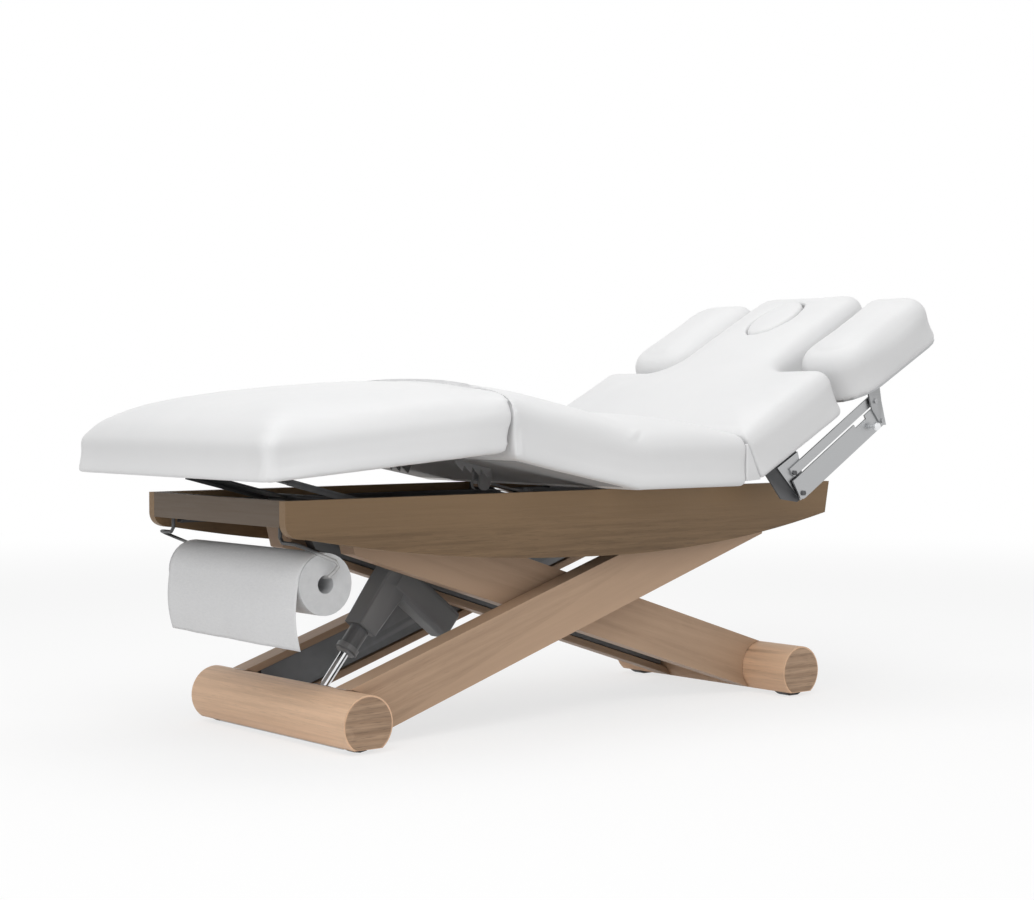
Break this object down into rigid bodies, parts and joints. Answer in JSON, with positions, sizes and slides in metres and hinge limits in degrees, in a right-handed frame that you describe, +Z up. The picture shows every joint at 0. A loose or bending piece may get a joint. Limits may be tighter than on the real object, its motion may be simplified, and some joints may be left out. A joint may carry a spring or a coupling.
{
  "type": "treatment bed",
  "caption": "Electric treatment bed with scissor lift, four-section padded top, drop-down arm pads, face hole with plug and paper roll.",
  "frame": {"origin": "on the floor, under the middle of the outline", "axes": "+X towards the head end, +Y to the far side of the bed, +Z up"},
  "size_m": [2.0366, 0.8334, 1.0065],
  "materials": {
    "leatherette": "satin",
    "wood": "satin",
    "board": "matte",
    "dark_steel": "satin",
    "grey_steel": "satin",
    "light_steel": "satin",
    "grey_plastic": "matte",
    "black_plastic": "matte",
    "rubber": "matte",
    "chrome": "polished",
    "paper": "matte"
  },
  "bodies": {
    "head_base": {"head_beam": "wood", "head_foot_near": "rubber", "head_foot_far": "rubber"},
    "inner_arms": {"inner_arm_frame": "grey_steel", "inner_arm_cover_near": "wood", "inner_arm_cover_far": "wood"},
    "outer_arms": {"outer_arm_frame": "grey_steel", "outer_arm_cover_near": "wood", "outer_arm_cover_far": "wood"},
    "foot_base": {"foot_beam": "wood", "foot_plate": "grey_steel", "wheel_axle_near": "grey_steel", "wheel_axle_far": "grey_steel"},
    "wheel_near": {"wheel_near": "rubber"},
    "wheel_far": {"wheel_far": "rubber"},
    "track_roller_near": {"track_roller_near": "black_plastic"},
    "track_roller_far": {"track_roller_far": "black_plastic"},
    "lift_housing": {"lift_housing": "grey_plastic"},
    "lift_rod": {"lift_rod": "chrome"},
    "upper_frame": {"upper_steel_frame": "dark_steel", "side_panel_near": "wood", "side_panel_far": "wood", "foot_panel": "wood", "control_box": "black_plastic", "seat_board": "board", "seat_cushion": "leatherette", "roll_hanger_near": "dark_steel", "roll_hanger_far": "dark_steel", "paper_sheet": "paper"},
    "paper_roll": {"paper_roll": "paper"},
    "thigh": {"thigh_board": "board", "thigh_cushion": "leatherette"},
    "calf": {"calf_board": "board", "calf_cushion": "leatherette"},
    "calf_lever": {"calf_lever": "dark_steel", "calf_glide_near": "black_plastic", "calf_glide_far": "black_plastic"},
    "leg_housing": {"leg_housing": "grey_plastic"},
    "leg_rod": {"leg_rod": "chrome"},
    "back": {"back_board": "board", "back_cushion": "leatherette", "arm_bracket_near": "dark_steel", "arm_bracket_far": "dark_steel", "arm_side_plate_near": "light_steel", "arm_side_plate_far": "light_steel"},
    "face_plug": {"face_plug": "leatherette"},
    "back_housing": {"back_housing": "grey_plastic"},
    "back_rod": {"back_rod": "chrome"},
    "lower_link_near": {"lower_link_near": "light_steel", "arm_knob_near": "chrome"},
    "upper_link_near": {"upper_link_near": "light_steel"},
    "arm_pad_near": {"arm_pad_frame_near": "light_steel", "arm_pad_near": "leatherette"},
    "lower_link_far": {"lower_link_far": "light_steel", "arm_knob_far": "chrome"},
    "upper_link_far": {"upper_link_far": "light_steel"},
    "arm_pad_far": {"arm_pad_frame_far": "light_steel", "arm_pad_far": "leatherette"}
  },
  "joints": [
    {"name": "lift", "type": "hinge", "parent": "head_base", "child": "inner_arms", "pos_m": [0.5819, 0, 0.0605], "axis": [0, 1, 0], "range_deg": [-2.6, 13.5]},
    {"name": "scissor_centre", "type": "hinge", "parent": "inner_arms", "child": "outer_arms", "pos_m": [-0.0631, 0, 0.27025], "axis": [0, 1, 0], "range_deg": [-27.05, 5.25]},
    {"name": "foot_beam_pivot", "type": "hinge", "parent": "outer_arms", "child": "foot_base", "pos_m": [-0.7081, 0, 0.0605], "axis": [0, 1, 0], "range_deg": [-2.65, 13.55]},
    {"name": "upper_frame_pivot", "type": "hinge", "parent": "inner_arms", "child": "upper_frame", "pos_m": [-0.7081, 0, 0.48], "axis": [0, 1, 0], "range_deg": [-13.55, 2.65]},
    {"name": "lift_housing_pivot", "type": "hinge", "parent": "inner_arms", "child": "lift_housing", "pos_m": [-0.38928, 0, 0.37632], "axis": [0, 1, 0], "range_deg": [-30.29, 5.87]},
    {"name": "lift_rod_slide", "type": "slide", "parent": "lift_housing", "child": "lift_rod", "axis": [-0.6313, 0, -0.7755], "range_m": [-0.03079, 0.15778]},
    {"name": "wheel_near_spin", "type": "hinge", "parent": "foot_base", "child": "wheel_near", "pos_m": [-0.7081, -0.262, 0.05], "axis": [0, 1, 0], "continuous": true},
    {"name": "track_roller_near_spin", "type": "hinge", "parent": "outer_arms", "child": "track_roller_near", "pos_m": [0.5819, -0.2407, 0.48], "axis": [0, 1, 0], "continuous": true},
    {"name": "wheel_far_spin", "type": "hinge", "parent": "foot_base", "child": "wheel_far", "pos_m": [-0.7081, 0.262, 0.05], "axis": [0, 1, 0], "continuous": true},
    {"name": "track_roller_far_spin", "type": "hinge", "parent": "outer_arms", "child": "track_roller_far", "pos_m": [0.5819, 0.2407, 0.48], "axis": [0, 1, 0], "continuous": true},
    {"name": "paper_roll_spin", "type": "hinge", "parent": "upper_frame", "child": "paper_roll", "pos_m": [-0.7851, 0, 0.35], "axis": [0, 1, 0], "continuous": true},
    {"name": "leg", "type": "hinge", "parent": "upper_frame", "child": "thigh", "pos_m": [-0.0281, 0, 0.635], "axis": [0, 1, 0], "range_deg": [-11.6, 8]},
    {"name": "knee", "type": "hinge", "parent": "thigh", "child": "calf", "pos_m": [-0.40308, 0, 0.71197], "axis": [0, 1, 0], "range_deg": [-11.29, 16.35]},
    {"name": "calf_lever_pivot", "type": "hinge", "parent": "upper_frame", "child": "calf_lever", "pos_m": [-0.6231, 0, 0.508], "axis": [0, 1, 0], "range_deg": [-9.74, 6.73]},
    {"name": "leg_housing_pivot", "type": "hinge", "parent": "upper_frame", "child": "leg_housing", "pos_m": [0.1269, 0, 0.455], "axis": [0, 1, 0], "range_deg": [-5.68, 3.93]},
    {"name": "leg_rod_slide", "type": "slide", "parent": "leg_housing", "child": "leg_rod", "axis": [-0.9762, 0, 0.2169], "range_m": [-0.02986, 0.02075]},
    {"name": "back", "type": "hinge", "parent": "upper_frame", "child": "back", "pos_m": [0.2969, 0, 0.635], "axis": [0, -1, 0], "range_deg": [-28.4, 35]},
    {"name": "back_housing_pivot", "type": "hinge", "parent": "upper_frame", "child": "back_housing", "pos_m": [-0.1231, 0, 0.445], "axis": [0, -1, 0], "range_deg": [-1.27, 1.04]},
    {"name": "back_rod_slide", "type": "slide", "parent": "back_housing", "child": "back_rod", "axis": [0.997, 0, 0.0776], "range_m": [-0.08115, 0.09989]},
    {"name": "face_plug_lift", "type": "slide", "parent": "back", "child": "face_plug", "axis": [-0.4756, 0, 0.8796], "range_m": [0, 0.15]},
    {"name": "arm_drop_near", "type": "hinge", "parent": "back", "child": "lower_link_near", "pos_m": [0.49423, 0, 0.50342], "axis": [0, 1, 0], "range_deg": [0, 14]},
    {"name": "arm_pad_level_near", "type": "hinge", "parent": "lower_link_near", "child": "arm_pad_near", "pos_m": [0.77334, 0, 0.67379], "axis": [0, 1, 0], "range_deg": [-14.05, 0.05]},
    {"name": "upper_link_near_pivot", "type": "hinge", "parent": "back", "child": "upper_link_near", "pos_m": [0.46807, 0, 0.5518], "axis": [0, 1, 0], "range_deg": [-0.05, 14.05]},
    {"name": "arm_drop_far", "type": "hinge", "parent": "back", "child": "lower_link_far", "pos_m": [0.49423, 0, 0.50342], "axis": [0, 1, 0], "range_deg": [0, 14]},
    {"name": "arm_pad_level_far", "type": "hinge", "parent": "lower_link_far", "child": "arm_pad_far", "pos_m": [0.77334, 0, 0.67379], "axis": [0, 1, 0], "range_deg": [-14.05, 0.05]},
    {"name": "upper_link_far_pivot", "type": "hinge", "parent": "back", "child": "upper_link_far", "pos_m": [0.46807, 0, 0.5518], "axis": [0, 1, 0], "range_deg": [-0.05, 14.05]}
  ],
  "couplings": [
    {"joint": "scissor_centre", "follows": "lift", "ratio": -2},
    {"joint": "foot_beam_pivot", "follows": "lift", "ratio": 1},
    {"joint": "upper_frame_pivot", "follows": "lift", "ratio": -1},
    {"joint": "lift_housing_pivot", "follows": "lift", "ratio": -2.24},
    {"joint": "lift_rod_slide", "follows": "lift", "m_per_rad": 0.6675},
    {"joint": "knee", "follows": "leg", "ratio": -1.405},
    {"joint": "calf_lever_pivot", "follows": "leg", "ratio": 0.835},
    {"joint": "leg_housing_pivot", "follows": "leg", "ratio": 0.485},
    {"joint": "leg_rod_slide", "follows": "leg", "m_per_rad": 0.145},
    {"joint": "back_housing_pivot", "follows": "back", "ratio": -0.035},
    {"joint": "back_rod_slide", "follows": "back", "m_per_rad": 0.1627},
    {"joint": "arm_pad_level_near", "follows": "arm_drop_near", "ratio": -1},
    {"joint": "upper_link_near_pivot", "follows": "arm_drop_near", "ratio": 1},
    {"joint": "arm_pad_level_far", "follows": "arm_drop_far", "ratio": -1},
    {"joint": "upper_link_far_pivot", "follows": "arm_drop_far", "ratio": 1}
  ]
}
